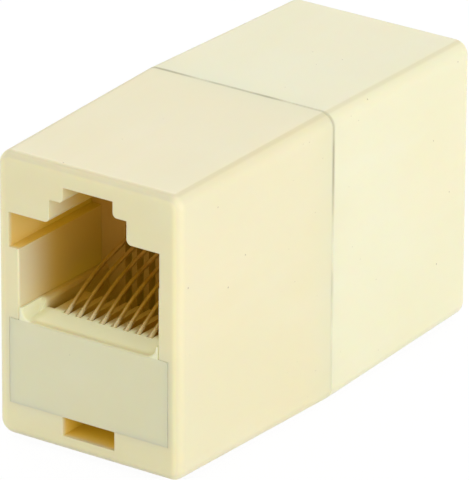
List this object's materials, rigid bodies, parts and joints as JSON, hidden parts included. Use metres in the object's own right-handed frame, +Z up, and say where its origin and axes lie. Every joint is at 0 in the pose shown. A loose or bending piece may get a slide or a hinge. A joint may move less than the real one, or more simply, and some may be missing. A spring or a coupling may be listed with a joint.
{
  "type": "rj45 inline coupler",
  "caption": "Rectangular plastic coupler with a modular socket in each end that joins two network cords in line, wired straight through.",
  "frame": {"origin": "middle of the underside, on the plane that the seam edges rest on, halfway between the two end faces", "axes": "+Z up, with each socket's latch slot at the top; -Y out of the front socket and +Y out of the rear one; +X to the right when looking into the front socket"},
  "size_m": [0.0162, 0.0362, 0.022],
  "materials": {
    "housing": "satin moulded cream plastic",
    "insert": "satin moulded cream plastic",
    "contact": "gold-plated spring wire",
    "sleeve": "tinned strip",
    "lead": "dull insulation"
  },
  "bodies": {
    "root": {"front_housing": "housing", "front_insert": "insert", "front_contact_1": "contact", "front_sleeve_1": "sleeve", "front_contact_2": "contact", "front_sleeve_2": "sleeve", "front_contact_3": "contact", "front_sleeve_3": "sleeve", "front_contact_4": "contact", "front_sleeve_4": "sleeve", "front_contact_5": "contact", "front_sleeve_5": "sleeve", "front_contact_6": "contact", "front_sleeve_6": "sleeve", "front_contact_7": "contact", "front_sleeve_7": "sleeve", "front_contact_8": "contact", "front_sleeve_8": "sleeve", "rear_housing": "housing", "rear_insert": "insert", "rear_contact_1": "contact", "rear_sleeve_1": "sleeve", "rear_contact_2": "contact", "rear_sleeve_2": "sleeve", "rear_contact_3": "contact", "rear_sleeve_3": "sleeve", "rear_contact_4": "contact", "rear_sleeve_4": "sleeve", "rear_contact_5": "contact", "rear_sleeve_5": "sleeve", "rear_contact_6": "contact", "rear_sleeve_6": "sleeve", "rear_contact_7": "contact", "rear_sleeve_7": "sleeve", "rear_contact_8": "contact", "rear_sleeve_8": "sleeve", "lead_1": "lead", "lead_2": "lead", "lead_3": "lead", "lead_4": "lead", "lead_5": "lead", "lead_6": "lead", "lead_7": "lead", "lead_8": "lead"}
  },
  "joints": []
}
